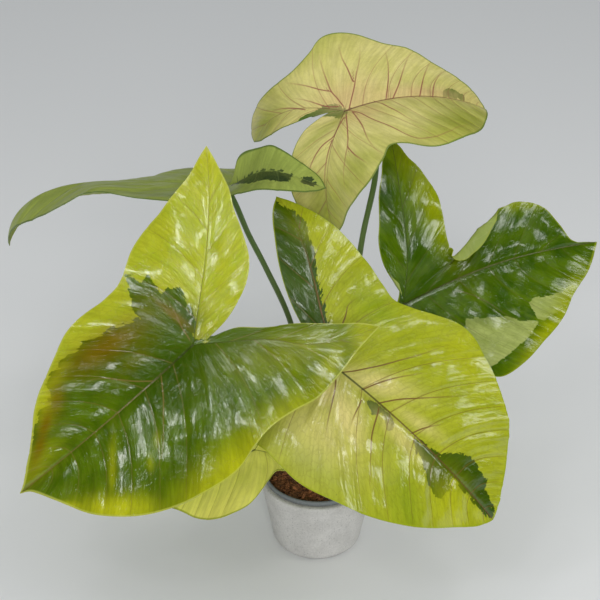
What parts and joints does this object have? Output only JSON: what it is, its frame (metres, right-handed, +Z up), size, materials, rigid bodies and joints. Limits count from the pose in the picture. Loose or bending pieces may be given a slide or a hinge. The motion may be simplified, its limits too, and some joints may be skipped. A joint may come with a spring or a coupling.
{
  "type": "potted arrowhead plant",
  "caption": "Arrowhead plant with broad variegated leaves on slender stalks, growing in a dark nursery pot set inside a small round grey ceramic cachepot.",
  "frame": {"origin": "centre of the cachepot's underside", "axes": "+Z up along the pot's axis, +Y away from the viewer, +X to the viewer's right"},
  "size_m": [0.4362, 0.2842, 0.3493],
  "materials": {
    "ceramic": "matte, finely speckled",
    "dark_plastic": "satin",
    "soil": "rough and damp",
    "stalk": "satin",
    "leaf_green": "glossy",
    "leaf_lime": "glossy",
    "leaf_cream": "satin"
  },
  "bodies": {
    "root": {"cachepot": "ceramic", "nursery_pot": "dark_plastic", "potting_soil": "soil", "stem": "stalk", "leaf_front_left": "leaf_green", "leaf_front_right": "leaf_lime", "leaf_right": "leaf_green", "leaf_top": "leaf_cream", "leaf_left": "leaf_green", "leaf_low": "leaf_lime"}
  },
  "joints": []
}
